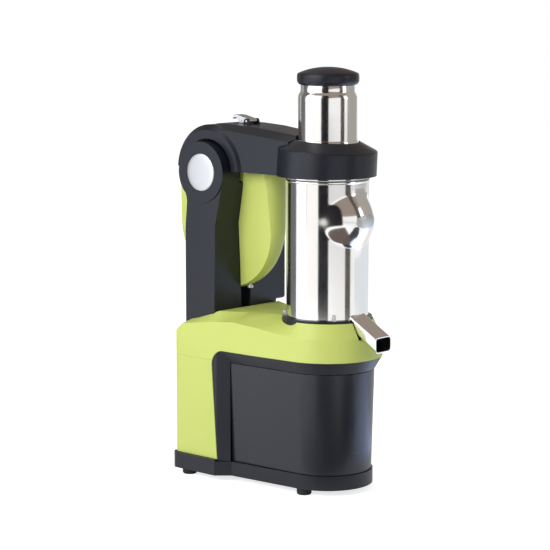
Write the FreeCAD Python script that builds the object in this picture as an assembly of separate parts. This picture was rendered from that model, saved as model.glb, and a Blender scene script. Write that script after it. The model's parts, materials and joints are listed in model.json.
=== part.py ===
import FreeCAD, Part
import math
import os

# Cold press juicer, upright, with a lifting arm over a steel bowl.
# Millimetres. While the pieces are drawn, the bowl's axis is X = 0, Y = 0,
# the front is -Y and the floor is Z = 0. At the end the whole juicer is moved
# so that the origin is on the floor, under the middle of its outline box.

os.makedirs("parts", exist_ok=True)
Vec = FreeCAD.Vector

# Clearances
SLIP = 0.3             # between pieces that move past each other
BEARING_PLAY = 0.05    # radial play of a shaft in its bearing
SEAT_GAP = 0.3         # under a removable piece that rests on its seat

# Feet and base
FOOT_R = 12.0
FOOT_H = 10.5
FOOT_FRONT = (62.0, -6.0)      # half spacing in X, and Y
FOOT_REAR = (84.0, 230.0)
BASE_WALL = 4.0
BASE_FRONT_TOP = 34.0
BASE_REAR_TOP = 37.0
BASE_NOSE_R = 74.5
BASE_SIDE = 83.0               # half width beside the container
BASE_REAR_SIDE = 102.0
REAR_Y = 255.5                 # back of the column
CORNER_R = 14.0                # upright rear corners

# Body shells
SHELL_WALL = 3.0
SIDE = 97.0                    # half width of the column and the deck
DECK_EDGE_Z = 219.0            # lower edge of the deck over the container
SEAM_Z = DECK_EDGE_Z - 17.0    # joint of deck and column
DECK_TOP_Z = DECK_EDGE_Z + 60.0
DECK_NOSE_R = 89.5
DECK_HOLE_R = 73.0
DECK_SHOULDER_R = DECK_NOSE_R - 3.5    # at the end of the side crease
DECK_SHOULDER_Z = DECK_EDGE_Z + 37.0
DECK_LIP = 0.5                 # width of the flat rim round the bowl's hole
# The deck behind the bowl: Y, half width, half width and height of the side
# crease, half width and height of the top.
DECK_STATIONS = (
    (0.0, DECK_NOSE_R, DECK_SHOULDER_R, DECK_SHOULDER_Z, DECK_HOLE_R + DECK_LIP, DECK_TOP_Z),
    (75.0, SIDE - 2.0, 90.0, DECK_TOP_Z - 15.0, 32.0, DECK_TOP_Z),
    (125.0, SIDE - 1.0, 90.5, DECK_TOP_Z - 11.5, 50.0, DECK_TOP_Z),
    (172.0, SIDE, 91.0, DECK_TOP_Z - 16.0, 72.0, DECK_TOP_Z),
    (215.0, SIDE, 92.0, DECK_TOP_Z - 22.0, 75.0, DECK_TOP_Z - 15.0),
    (REAR_Y + 5.0, SIDE, 92.5, DECK_TOP_Z - 28.0, 76.0, DECK_TOP_Z - 26.0),
)
DECK_SLOPE_Y = 208.0           # where the rear slope leaves the top
# The rear slope's lower corners: distance in from REAR_Y, and height.
DECK_BACK = ((5.8, DECK_EDGE_Z + 23.8), (0.8, DECK_EDGE_Z - 0.3))
DECK_SKIRT = 10.0              # the deck's solid reaches this far under the seam
BAY_FOOT_Y = 152.5             # front edge of the column, at the floor
BAY_TOP_Y = 168.0              # the same edge, at the deck's lower edge
BAY_CORNER_R = 25.0

# Back panel and mains inlet
PANEL_HALF = 72.0
PANEL_Z = (BASE_REAR_TOP + 21.0, SEAM_Z - 14.0)
PANEL_LIP = 2.0                # thickness of its rim behind the wall
PANEL_OVERLAP = 5.0            # width of that rim round the window
INLET_X = -57.0
INLET_Z = 150.0
INLET_HALF = (13.5, 11.0)

# Pulp container and its surround
CONTAINER_TOP = DECK_EDGE_Z - 21.0
CONTAINER_NOSE_TOP = 76.5
CONTAINER_NOSE_FOOT = 72.0
CONTAINER_SIDE_TOP = 83.0
CONTAINER_SIDE_FOOT = 78.5
CONTAINER_BACK = 149.0
CONTAINER_WALL = 2.5
SURROUND_WALL = 3.0
LEG_FRONT_Y = 136.0
LEG_REAR_Y = 156.0
LEG_WALL = 5.0

# Bowl, screw and filter
BOWL_R = 66.0
BOWL_WALL = 1.5
BOWL_FOOT_Z = DECK_TOP_Z - 17.0    # the bowl stands in the deck's hole
BOWL_TOP_Z = 503.5
BOWL_RIM_R = 67.5
BUMP_R = 45.0
BUMP_Y = -38.0
BUMP_Z = 440.0
BUMP_BLEND = 9.0
BADGE_HALF = (22.0, 11.0)
BADGE_THICK = 1.2
FILTER_R = 50.0
FILTER_WALL = 1.5
FILTER_TOP = 499.0
SCREW_R = 46.5
SCREW_TOP = 492.0
SCREW_PITCH = 48.0
SCREW_TURNS = 4
LUG_ANGLES = (15.0, 139.0, 230.0)
COLLAR_TOP = DECK_TOP_Z + 4.0      # of the black ring round the bowl's foot
LUG_H = 6.0
LUG_PIN_H = 9.0

# Spout
SPOUT_W = 38.0
SPOUT_H = 22.0
SPOUT_CORNER = 6.0
SPOUT_WALL = 1.5
SPOUT_FALL = 30.0              # degrees below level
SPOUT_ROOT_Z = BOWL_FOOT_Z + 15.4      # centre line at the bowl wall
SPOUT_REACH = 51.0             # from the bowl wall to the upright cut of its mouth
SPOUT_ROOM = 2.0               # round the spout, where the deck's rim lets it through

# Drive
PLATE_THICK = 4.0
SHAFT_R = 8.0
BEARING_R = 17.5
BEARING_H = 9.0
DRIVE_PULLEY_R = 24.0
MOTOR_PULLEY_R = 12.0
PULLEY_H = 14.0
PULLEY_Z = DECK_EDGE_Z + 13.0
PULLEY_RIM = 2.0               # its flanges stand this far over the belt's path
BELT_THICK = 2.5
SEAT_R = DECK_HOLE_R - 1.0         # turret and the ring on it
DUCT_R = 9.0
DUCT_WALL = 1.5
DUCT_OFFSET = 27.0             # from the bowl's axis, in +X and in -Y
MOTOR_Y = (BAY_TOP_Y + REAR_Y) / 2.0
MOTOR_R = (REAR_Y - BAY_TOP_Y) / 2.0 - SHELL_WALL - PANEL_LIP - 1.0
MOTOR_H = 120.0
MOTOR_SHAFT_R = 5.0
FAN_R = MOTOR_R - 2.0
FAN_H = 12.0
FAN_BLADES = 8

# Circuit board in the foot of the column
POST_H = 8.0
POST_R = 3.0
BOARD_HALF = 66.0
BOARD_Y = (172.0, 246.0)
BOARD_EDGE = 6.0               # from the board's edge to its posts
BOARD_THICK = 1.6
CAPACITOR_X = (-40.0, -18.0, 30.0)
CAPACITOR_Y = 200.0
CAPACITOR_R = 7.0
CAPACITOR_H = 18.4
RELAY_X = (0.0, 16.0)
RELAY_Y = (215.0, 238.0)
RELAY_H = 12.4

# Uprights and hinge
PIVOT_Y = 209.0
PIVOT_Z = 505.0
HEAD_R = 50.0
HEAD_OUT = 77.0                # outer face of the head, in X
HEAD_IN = 34.0
UPRIGHT_OUT = 75.0
UPRIGHT_FRONT = 181.0
UPRIGHT_REAR = 246.0
DISC_R = 31.0
DISC_THICK = 3.0
PIVOT_R = 9.0
BUSH_WALL = 3.0
ARM_OPEN = 50.0                # degrees

# Inner faces of the uprights: half gap at each height
GAP_LINE = ((9.5, 262.0), (14.0, 350.0), (23.0, 473.0), (29.5, 530.0), (29.5, 600.0))

# Rear housing between the uprights
HOUSING_R = 107.0
HOUSING_Z = 415.0              # centre of its round lower end
HOUSING_CAP_R = 70.0
HOUSING_HALF = 29.5
HOUSING_WALL = 3.0
HOUSING_TOP = 506.8
HOUSING_CROWN = 16.0           # rise of its crowned front and back
HOUSING_SCREW_IN = 39.0        # from the pivot towards the bowl

# Arm
ARM_BOTTOM = 507.5
HOOD_R = 77.0
HOOD_HALF = 61.0
HOOD_ROOF = 4.0
BEAM_HALF = 56.0
# The beam: Y, height of its side edge, half width and height of its roof.
BEAM_STATIONS = (
    (35.0, 562.0, 26.0, 569.0),
    (80.0, 566.0, 32.0, 575.0),
    (125.0, 570.0, 35.0, 580.0),
    (170.0, 574.0, 37.0, 582.5),
    (PIVOT_Y, 575.5, 38.0, 583.0),
)
RING_R = 79.5
RING_EDGE_Z = 551.0
RING_HOLE_R = 51.5
RING_RIM_Z = 564.0
RING_TILT = 3.5
POCKET_Z = RING_EDGE_Z + 7.0   # roof of the hollow in the beam

# Latch on the arm's roof
LATCH_Y = 166.0                # its pin
LATCH_HALF = 10.0
LATCH_EAR = 3.0
LATCH_ROOF = 582.6             # height of the roof under it
LATCH_PIN_R = 1.8
LATCH_PIN_Z = LATCH_ROOF + 4.6

# Feed chute and pusher
CAP_TOP = 680.0
CAP_R = 49.5
CAP_RISE = 12.0                # of its domed top
CHUTE_TOP_Z = CAP_TOP - 28.0
CAP_Z = CHUTE_TOP_Z + SEAT_GAP
CHUTE_R = 47.5
CHUTE_WALL = 1.5
CHUTE_SHOULDER_Z = CHUTE_TOP_Z - 12.0
CHUTE_NECK_R = 43.5
PUSHER_R = 41.0
PUSHER_WALL = 3.0
PUSHER_FOOT_Z = ARM_BOTTOM + 4.5

# Controls on the right upright
BOX_OUT = 104.0
BOX_Y = (184.0, 243.0)
BOX_Z = (280.0, 432.0)
BOX_WALL = 3.0
KNOB_R = 17.0
KNOB_H = 12.0
KNOB_Z = 322.0
BUTTON_R = 8.0
BUTTON_TRAVEL = 2.5
BUTTON_Z = (372.0, 400.0)

FAR = 400.0                    # longer than any piece, for cutting tools


def face_of(points, place):
    # A flat face through corners (a, b) or (a, b, corner radius).
    corners = [tuple(p) + (0.0,) * (3 - len(p)) for p in points]
    count = len(corners)
    edges = []
    starts = []
    ends = []
    arcs = []
    for i in range(count):
        x, y, radius = corners[i]
        here = Vec(x, y, 0)
        before = Vec(*corners[i - 1][:2], 0)
        after = Vec(*corners[(i + 1) % count][:2], 0)
        if radius <= 0.0:
            starts.append(here)
            ends.append(here)
            arcs.append(None)
            continue
        to_before = (before - here).normalize()
        to_after = (after - here).normalize()
        half = to_before.getAngle(to_after) / 2.0
        reach = radius / math.tan(half)
        middle = (to_before + to_after).normalize() * (radius / math.sin(half) - radius)
        starts.append(here + to_before * reach)
        ends.append(here + to_after * reach)
        arcs.append(here + middle)
    for i in range(count):
        if arcs[i] is not None:
            edges.append(Part.Arc(place(starts[i]), place(arcs[i]), place(ends[i])).toShape())
        nxt = (i + 1) % count
        if (starts[nxt] - ends[i]).Length > 1e-6:
            edges.append(Part.LineSegment(place(ends[i]), place(starts[nxt])).toShape())
    return Part.Face(Part.Wire(edges))


def prism_z(points, low, high):
    # Plan outline (x, y) raised from low to high.
    face = face_of(points, lambda p: Vec(p.x, p.y, low))
    return face.extrude(Vec(0, 0, high - low))


def prism_x(points, low, high):
    # Side outline (y, z) carried across from low to high.
    face = face_of(points, lambda p: Vec(low, p.x, p.y))
    return face.extrude(Vec(high - low, 0, 0))


def prism_y(points, low, high):
    # Front outline (x, z) carried back from low to high.
    face = face_of(points, lambda p: Vec(p.x, low, p.y))
    return face.extrude(Vec(0, high - low, 0))


def turned(points, x=0.0, y=0.0):
    # Profile (radius, z) turned about an upright axis at x, y.
    face = face_of(points, lambda p: Vec(x + p.x, y, p.y))
    return face.revolve(Vec(x, y, 0), Vec(0, 0, 1), 360)


def rod_z(radius, low, high, x=0.0, y=0.0):
    return Part.makeCylinder(radius, high - low, Vec(x, y, low), Vec(0, 0, 1))


def rod_x(radius, low, high, y=PIVOT_Y, z=PIVOT_Z):
    return Part.makeCylinder(radius, high - low, Vec(low, y, z), Vec(1, 0, 0))


def rod_y(radius, low, high, x, z):
    return Part.makeCylinder(radius, high - low, Vec(x, low, z), Vec(0, 1, 0))


def block(x, y, z):
    # A box from three (low, high) pairs.
    return Part.makeBox(x[1] - x[0], y[1] - y[0], z[1] - z[0], Vec(x[0], y[0], z[0]))


def joined(shapes):
    result = shapes[0]
    for shape in shapes[1:]:
        result = result.fuse(shape)
    return result.removeSplitter()


def mirrored(shape):
    return shape.mirror(Vec(0, 0, 0), Vec(1, 0, 0))


def nose_wire(radius, side, back, z):
    # Round front of the given radius about the bowl's axis, with sides that
    # run from the round, tangent to it, to half width side at Y = back.
    reach = math.hypot(side, back)
    angle = math.atan2(back, side) - math.acos(min(1.0, radius / reach))
    right = Vec(radius * math.cos(angle), radius * math.sin(angle), z)
    left = Vec(-right.x, right.y, z)
    front = Vec(0, -radius, z)
    corner_right = Vec(side, back, z)
    corner_left = Vec(-side, back, z)
    return Part.Wire([
        Part.Arc(left, front, right).toShape(),
        Part.LineSegment(right, corner_right).toShape(),
        Part.LineSegment(corner_right, corner_left).toShape(),
        Part.LineSegment(corner_left, left).toShape(),
    ])


def nose_loft(foot, top, low, high, back):
    # foot and top are (nose radius, half width at the back).
    return Part.makeLoft([nose_wire(*foot, back, low), nose_wire(*top, back, high)], True, True)


def bay(grow=0.0):
    # The space under the deck and in front of the column.
    top = DECK_EDGE_Z + grow
    lean = (BAY_TOP_Y - BAY_FOOT_Y) / DECK_EDGE_Z
    low_y = BAY_FOOT_Y + grow - lean * FAR
    corner = (BAY_TOP_Y + grow, top, BAY_CORNER_R)
    return prism_x([(-FAR, -FAR), (low_y, -FAR), corner, (-FAR, top)], -FAR, FAR)


def make_base(parts):
    front = nose_loft((BASE_NOSE_R, BASE_SIDE), (BASE_NOSE_R, BASE_SIDE),
                      FOOT_H, BASE_FRONT_TOP, LEG_FRONT_Y)

    def rear_plan(inset):
        back = REAR_Y + 1.5 - inset
        side = BASE_REAR_SIDE - inset
        return [(-BASE_SIDE + inset, LEG_FRONT_Y - 1.0), (-side, LEG_REAR_Y), (-side, back, CORNER_R),
                (side, back, CORNER_R), (side, LEG_REAR_Y), (BASE_SIDE - inset, LEG_FRONT_Y - 1.0)]

    rear = prism_z(rear_plan(0.0), FOOT_H, BASE_FRONT_TOP)
    column_seat = prism_z(rear_plan(0.0), FOOT_H, BASE_REAR_TOP).cut(bay())
    hollow_top = BASE_FRONT_TOP - BASE_WALL
    hollow_front = nose_loft((BASE_NOSE_R - BASE_WALL, BASE_SIDE - BASE_WALL),
                             (BASE_NOSE_R - BASE_WALL, BASE_SIDE - BASE_WALL),
                             FOOT_H, hollow_top, LEG_FRONT_Y + 1.0)
    hollow_rear = prism_z(rear_plan(BASE_WALL), FOOT_H, hollow_top)
    base = joined([front, rear, column_seat]).cut(hollow_front.fuse(hollow_rear))
    boss_r = FOOT_R - 2.0
    feet = []
    screws = []
    for half, y in (FOOT_FRONT, FOOT_REAR):
        for x in (-half, half):
            base = base.fuse(rod_z(boss_r, FOOT_H, hollow_top, x, y))
            base = base.cut(rod_z(2.0, FOOT_H, hollow_top, x, y))
            foot = turned([(3.0, 3.5), (5.0, 3.5), (5.0, 0.0), (FOOT_R - 1.5, 0.0),
                           (FOOT_R, 2.0), (FOOT_R, FOOT_H), (3.0, FOOT_H)], x, y)
            feet.append(foot)
            screws.append(rod_z(4.5, 1.0, 3.5, x, y).fuse(rod_z(2.0, 3.5, FOOT_H + 12.0, x, y)))
    parts["base_tray"] = base.removeSplitter()
    parts["rubber_feet"] = Part.makeCompound(feet)
    parts["foot_screws"] = Part.makeCompound(screws)


def column_plan(inset):
    side = SIDE - inset
    back = REAR_Y - inset
    radius = CORNER_R - inset
    front = BAY_FOOT_Y / 2.0
    return [(-side, front), (-side, back, radius), (side, back, radius), (side, front)]


def make_column(parts):
    outer = prism_z(column_plan(0.0), BASE_REAR_TOP, SEAM_Z).cut(bay())
    inner = prism_z(column_plan(SHELL_WALL), BASE_REAR_TOP, SEAM_Z).cut(bay(SHELL_WALL))
    window = block((-PANEL_HALF, PANEL_HALF), (REAR_Y - 10.0, REAR_Y + 10.0), PANEL_Z)
    parts["column_shell"] = outer.cut(inner).cut(window)
    # Back panel with air slots and the hole of the mains inlet.
    fit = SLIP
    panel = block((-PANEL_HALF + fit, PANEL_HALF - fit), (REAR_Y - SHELL_WALL, REAR_Y),
                  (PANEL_Z[0] + fit, PANEL_Z[1] - fit))
    lip_in = REAR_Y - SHELL_WALL - PANEL_LIP
    lip = block((-PANEL_HALF - PANEL_OVERLAP, PANEL_HALF + PANEL_OVERLAP), (lip_in, REAR_Y - SHELL_WALL),
                (PANEL_Z[0] - PANEL_OVERLAP, PANEL_Z[1] + PANEL_OVERLAP))
    panel = panel.fuse(lip)
    slots = []
    for row in range(9):
        z = PANEL_Z[0] + 16.0 + row * 11.0
        slots.append(block((-22.0, 58.0), (REAR_Y - 10.0, REAR_Y + 10.0), (z, z + 4.0)))
    panel = panel.cut(Part.makeCompound(slots))
    inlet_x = (INLET_X - INLET_HALF[0], INLET_X + INLET_HALF[0])
    inlet_z = (INLET_Z - INLET_HALF[1], INLET_Z + INLET_HALF[1])
    panel = panel.cut(block(inlet_x, (REAR_Y - 10.0, REAR_Y + 10.0), inlet_z))
    screws = []
    for x in (-PANEL_HALF + 7.0, PANEL_HALF - 7.0):
        for z in (PANEL_Z[0] + 8.0, PANEL_Z[1] - 8.0):
            hole = rod_y(1.6, REAR_Y - 10.0, REAR_Y + 10.0, x, z)
            panel = panel.cut(hole)
            screws.append(rod_y(3.2, REAR_Y, REAR_Y + 1.6, x, z).fuse(
                rod_y(1.6, REAR_Y - 9.0, REAR_Y, x, z)))
    parts["back_panel"] = panel.removeSplitter()
    parts["panel_screws"] = Part.makeCompound(screws)
    # Mains inlet: a socket with three blades.
    body = block(inlet_x, (REAR_Y - 20.0, REAR_Y), inlet_z)
    flange = block((inlet_x[0] - 2.5, inlet_x[1] + 2.5), (REAR_Y, REAR_Y + 1.5),
                   (inlet_z[0] - 2.5, inlet_z[1] + 2.5))
    socket = block((INLET_X - 11.5, INLET_X + 11.5), (REAR_Y - 16.0, REAR_Y + 1.5),
                   (INLET_Z - 7.5, INLET_Z + 7.5))
    blades = [block((INLET_X + x - 1.0, INLET_X + x + 1.0), (REAR_Y - 16.0, REAR_Y - 6.0),
                    (INLET_Z - 3.0, INLET_Z + 3.0)) for x in (-7.0, 0.0, 7.0)]
    parts["power_inlet"] = joined([body.fuse(flange).cut(socket)] + blades)


def deck_form(inset):
    # The deck as a solid, every wall moved in by inset.
    foot = SEAM_Z - DECK_SKIRT
    wires = []
    for y, side, crease, crease_z, top, top_z in DECK_STATIONS:
        section = [(-side + inset, foot), (-side + inset, DECK_EDGE_Z),
                   (-crease + inset, crease_z - inset / 2.0), (-top + inset, top_z - inset)]
        section = section + [(-x, z) for x, z in reversed(section)]
        wires.append(face_of(section, lambda p, y=y: Vec(p.x, y, p.y)).OuterWire)
    body = Part.makeLoft(wires, True, True)
    nose = turned([(0.0, foot), (DECK_NOSE_R - inset, foot), (DECK_NOSE_R - inset, DECK_EDGE_Z),
                   (DECK_SHOULDER_R - inset, DECK_SHOULDER_Z - inset / 2.0),
                   (DECK_HOLE_R + DECK_LIP - inset, DECK_TOP_Z - inset), (0.0, DECK_TOP_Z - inset)])
    body = body.fuse(nose.cut(block((-FAR, FAR), (0.0, FAR), (0.0, FAR))))
    back = REAR_Y - inset
    upper, lower = DECK_BACK
    low_z = foot + 1.0
    profile = [(-FAR, low_z), (-FAR, FAR), (DECK_SLOPE_Y, FAR), (DECK_SLOPE_Y, DECK_TOP_Z + 4.0 - inset),
               (back - upper[0], upper[1] - inset / 2.0), (back - lower[0], lower[1]), (back, SEAM_Z),
               (back, low_z)]
    body = body.common(prism_x(profile, -FAR, FAR))
    side = SIDE - inset
    radius = CORNER_R - inset
    plan = [(-side, LEG_FRONT_Y), (-side, back, radius), (side, back, radius), (side, LEG_FRONT_Y)]
    straight = prism_z(plan, 0.0, FAR)
    front = block((-FAR, FAR), (-FAR, LEG_FRONT_Y), (0.0, FAR))
    return body.common(front.fuse(straight))


def deck_outer():
    solid = deck_form(0.0).cut(block((-FAR, FAR), (-FAR, FAR), (0.0, SEAM_Z)))
    return solid.cut(bay())


def spout_notch():
    # Room for the spout in the deck's rim and in the ring, open upwards.
    slope = math.tan(math.radians(SPOUT_FALL))
    below = (SPOUT_H / 2.0 + SPOUT_ROOM) / math.cos(math.radians(SPOUT_FALL))
    inner = BOWL_R / 2.0
    outer = BOWL_R + SPOUT_REACH
    inner_z = SPOUT_ROOT_Z - below + (BOWL_R - inner) * slope
    outer_z = inner_z - (outer - inner) * slope
    half = SPOUT_W / 2.0 + SPOUT_ROOM
    return prism_x([(-inner, inner_z), (-outer, outer_z), (-outer, FAR), (-inner, FAR)], -half, half)


def make_deck(parts):
    hollow = deck_form(SHELL_WALL).cut(rod_z(DECK_HOLE_R + SHELL_WALL, DECK_TOP_Z - 2 * SHELL_WALL, FAR))
    shell = deck_outer().cut(hollow)
    shell = shell.cut(rod_z(DECK_HOLE_R, 0.0, FAR)).cut(spout_notch())
    parts["deck_shell"] = shell.removeSplitter()


def make_surround(parts):
    low = CONTAINER_TOP + 2 * SLIP
    back = BAY_TOP_Y + CORNER_R
    wall = SURROUND_WALL
    nose = CONTAINER_NOSE_TOP + 1.0
    side_low = CONTAINER_SIDE_TOP + 1.0
    side_top = SIDE - 1.0
    outer = nose_loft((nose, side_low), (DECK_NOSE_R, side_top), low, DECK_EDGE_Z, back)
    inner = nose_loft((nose - wall, side_low - wall), (DECK_NOSE_R - wall, side_top - wall),
                      low, DECK_EDGE_Z, back)
    pieces = [outer.cut(inner)]
    leg_in = CONTAINER_SIDE_TOP + SLIP
    for sign in (-1.0, 1.0):
        plan = [(sign * x, y) for x, y in (
            (leg_in, LEG_FRONT_Y), (side_top, LEG_REAR_Y), (side_top, back),
            (side_top - LEG_WALL, back), (leg_in, CONTAINER_BACK))]
        pieces.append(prism_z(plan, BASE_FRONT_TOP, DECK_EDGE_Z))
    parts["container_surround"] = joined(pieces).common(bay())
    # The container, open at its top.
    foot_z = BASE_FRONT_TOP + SEAT_GAP
    body = nose_loft((CONTAINER_NOSE_FOOT, CONTAINER_SIDE_FOOT), (CONTAINER_NOSE_TOP, CONTAINER_SIDE_TOP),
                     foot_z, CONTAINER_TOP, CONTAINER_BACK)
    w = CONTAINER_WALL
    hollow = nose_loft((CONTAINER_NOSE_FOOT - w, CONTAINER_SIDE_FOOT - w),
                       (CONTAINER_NOSE_TOP - w, CONTAINER_SIDE_TOP - w),
                       foot_z, CONTAINER_TOP, CONTAINER_BACK - w)
    hollow = hollow.cut(block((-FAR, FAR), (-FAR, FAR), (0.0, foot_z + w)))
    parts["pulp_container"] = body.cut(hollow)


def ring_z(outer, inner, low, high, x=0.0, y=0.0):
    return rod_z(outer, low, high, x, y).cut(rod_z(inner, low, high, x, y))


def pulley(radius, bore, y):
    # A flat belt pulley with a rim at each end.
    rim = radius + PULLEY_RIM
    low = PULLEY_Z
    high = PULLEY_Z + PULLEY_H
    return turned([(bore, low), (rim, low), (rim, low + 1.0), (radius, low + 1.0),
                   (radius, high - 1.0), (rim, high - 1.0), (rim, high), (bore, high)], 0.0, y)


def make_drive(parts):
    plate_top = DECK_EDGE_Z + PLATE_THICK
    plate = deck_form(SHELL_WALL + SLIP).common(block((-FAR, FAR), (-FAR, FAR), (DECK_EDGE_Z, plate_top)))
    duct_out = DUCT_R + DUCT_WALL
    duct_hole = rod_z(duct_out, 0.0, FAR, DUCT_OFFSET, -DUCT_OFFSET)
    plate = plate.cut(rod_z(BEARING_R, 0.0, FAR)).cut(duct_hole)
    plate = plate.cut(rod_z(MOTOR_PULLEY_R + PULLEY_RIM + 3.0, 0.0, FAR, 0.0, MOTOR_Y))
    parts["chassis_plate"] = plate
    # Turret that carries the bowl, with the belt's window at the back.
    seat_top = BOWL_FOOT_Z - BEARING_PLAY
    hub_r = BEARING_R + 5.0
    low_hub = seat_top - 5.0 - BEARING_H
    skirt = ring_z(SEAT_R - 4.0, SEAT_R - 8.0, plate_top, seat_top - 6.0)
    disc = rod_z(SEAT_R, seat_top - 6.0, seat_top)
    hub = rod_z(hub_r, low_hub, seat_top)
    turret = joined([skirt, disc, hub])
    turret = turret.cut(rod_z(BEARING_R, low_hub, low_hub + BEARING_H))
    turret = turret.cut(rod_z(SHAFT_R + 4.0, 0.0, FAR)).cut(duct_hole)
    window_half = DRIVE_PULLEY_R + BELT_THICK + 6.0
    turret = turret.cut(block((-window_half, window_half), (0.0, FAR),
                              (PULLEY_Z - 3.0, PULLEY_Z + PULLEY_H + 3.0)))
    collar = ring_z(SEAT_R, BOWL_R + SEAT_GAP, seat_top, COLLAR_TOP)
    parts["bowl_turret"] = turret.fuse(collar).removeSplitter().cut(spout_notch())
    parts["lower_bearing"] = ring_z(BEARING_R, SHAFT_R + BEARING_PLAY, DECK_EDGE_Z, DECK_EDGE_Z + BEARING_H)
    parts["upper_bearing"] = ring_z(BEARING_R, SHAFT_R + BEARING_PLAY, low_hub, low_hub + BEARING_H)
    parts["shaft_seal"] = ring_z(SHAFT_R + 4.0, SHAFT_R + BEARING_PLAY, low_hub + BEARING_H, seat_top)
    # Drive shaft, with a square head for the screw.
    head = SHAFT_R * 0.7
    shaft = rod_z(SHAFT_R, DECK_EDGE_Z, BOWL_FOOT_Z + 12.0)
    shaft = shaft.fuse(block((-head, head), (-head, head), (BOWL_FOOT_Z + 10.0, BOWL_FOOT_Z + 45.0)))
    parts["drive_shaft"] = shaft.removeSplitter()
    parts["drive_pulley"] = pulley(DRIVE_PULLEY_R, SHAFT_R, 0.0)
    parts["motor_pulley"] = pulley(MOTOR_PULLEY_R, MOTOR_SHAFT_R, MOTOR_Y)
    # Belt: outer and inner loops with straight runs tangent to both pulleys.
    parts["drive_belt"] = belt_loop(SLIP + BELT_THICK).cut(belt_loop(SLIP))
    parts["pulp_duct"] = ring_z(duct_out, DUCT_R, CONTAINER_TOP + 6.0, seat_top, DUCT_OFFSET, -DUCT_OFFSET)
    # Motor under the plate, its shaft through it, and a fan below.
    motor_top = DECK_EDGE_Z
    motor_low = motor_top - MOTOR_H
    body = turned([(MOTOR_SHAFT_R + BEARING_PLAY, motor_low), (MOTOR_R - 4.0, motor_low),
                   (MOTOR_R, motor_low + 4.0), (MOTOR_R, motor_top),
                   (MOTOR_SHAFT_R + BEARING_PLAY, motor_top)], 0.0, MOTOR_Y)
    parts["motor"] = body
    fan_top = motor_low - 3.0
    fan_low = fan_top - FAN_H
    parts["motor_shaft"] = rod_z(MOTOR_SHAFT_R, fan_low - 2.0, PULLEY_Z + PULLEY_H + 3.0, 0.0, MOTOR_Y)
    fan = rod_z(MOTOR_SHAFT_R + 5.0, fan_low, fan_top, 0.0, MOTOR_Y)
    fan = fan.fuse(rod_z(FAN_R, fan_top - 1.5, fan_top, 0.0, MOTOR_Y))
    for i in range(FAN_BLADES):
        blade = block((MOTOR_SHAFT_R + 3.0, FAN_R), (-0.8, 0.8), (fan_low, fan_top - 1.0))
        blade.rotate(Vec(0, 0, 0), Vec(0, 0, 1), i * 360.0 / FAN_BLADES)
        blade.translate(Vec(0, MOTOR_Y, 0))
        fan = fan.fuse(blade)
    parts["motor_fan"] = fan.cut(rod_z(MOTOR_SHAFT_R, 0.0, FAR, 0.0, MOTOR_Y)).removeSplitter()
    # Circuit board on four posts over the base, with three capacitors and a relay.
    post_top = BASE_REAR_TOP + POST_H
    board_top = post_top + BOARD_THICK
    posts = []
    for x in (-BOARD_HALF + BOARD_EDGE, BOARD_HALF - BOARD_EDGE):
        for y in (BOARD_Y[0] + BOARD_EDGE, BOARD_Y[1] - BOARD_EDGE):
            posts.append(rod_z(POST_R, BASE_REAR_TOP, post_top, x, y))
    parts["board_posts"] = Part.makeCompound(posts)
    board = block((-BOARD_HALF, BOARD_HALF), BOARD_Y, (post_top, board_top))
    for x in CAPACITOR_X:
        board = board.fuse(rod_z(CAPACITOR_R, board_top, board_top + CAPACITOR_H, x, CAPACITOR_Y))
    board = board.fuse(block(RELAY_X, RELAY_Y, (board_top, board_top + RELAY_H)))
    parts["control_board"] = board.removeSplitter()


def belt_loop(grow):
    # Solid filling the belt's loop, grown past the pulleys by grow.
    big = DRIVE_PULLEY_R + grow
    small = MOTOR_PULLEY_R + grow
    lean = math.asin((big - small) / MOTOR_Y)
    side_big = Vec(big * math.cos(lean), big * math.sin(lean), 0)
    side_small = Vec(small * math.cos(lean), MOTOR_Y + small * math.sin(lean), 0)
    low = PULLEY_Z + 1.5

    def at(p):
        return Vec(p.x, p.y, low)

    def left(p):
        return Vec(-p.x, p.y, low)

    wire = Part.Wire([
        Part.Arc(left(side_big), Vec(0, -big, low), at(side_big)).toShape(),
        Part.LineSegment(at(side_big), at(side_small)).toShape(),
        Part.Arc(at(side_small), Vec(0, MOTOR_Y + small, low), left(side_small)).toShape(),
        Part.LineSegment(left(side_small), left(side_big)).toShape(),
    ])
    return Part.Face(wire).extrude(Vec(0, 0, PULLEY_H - 3.0))


def bowl_solid(inset):
    # The bowl filled, every wall moved in by inset.
    body = turned([(0.0, BOWL_FOOT_Z + inset), (BOWL_R - inset, BOWL_FOOT_Z + inset, 5.0),
                   (BOWL_R - inset, BOWL_TOP_Z), (0.0, BOWL_TOP_Z)])
    bump = Part.makeSphere(BUMP_R - inset, Vec(0, BUMP_Y, BUMP_Z))
    body = body.fuse(bump).removeSplitter()
    seams = []
    for edge in body.Edges:
        box = edge.BoundBox
        in_front = abs(box.Center.z - BUMP_Z) < 3.0 and box.YMax < -5.0
        if in_front and box.ZLength > 20.0 and box.XLength > 20.0:
            seams.append(edge)
    return body.makeFillet(BUMP_BLEND + inset, seams)


def spout_solid(inset, start, end):
    # Slanted tube along the fall line, from start to end, its mouth cut upright.
    half_w = SPOUT_W / 2.0 - inset
    half_h = SPOUT_H / 2.0 - inset
    radius = SPOUT_CORNER - inset
    tube = prism_y([(-half_w, -half_h, radius), (half_w, -half_h, radius),
                    (half_w, half_h, radius), (-half_w, half_h, radius)], -end, -start)
    tube.rotate(Vec(0, 0, 0), Vec(1, 0, 0), SPOUT_FALL)
    tube.translate(Vec(0, -BOWL_R, SPOUT_ROOT_Z))
    return tube.cut(block((-FAR, FAR), (-FAR, -BOWL_R - SPOUT_REACH), (0.0, FAR)))


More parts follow.
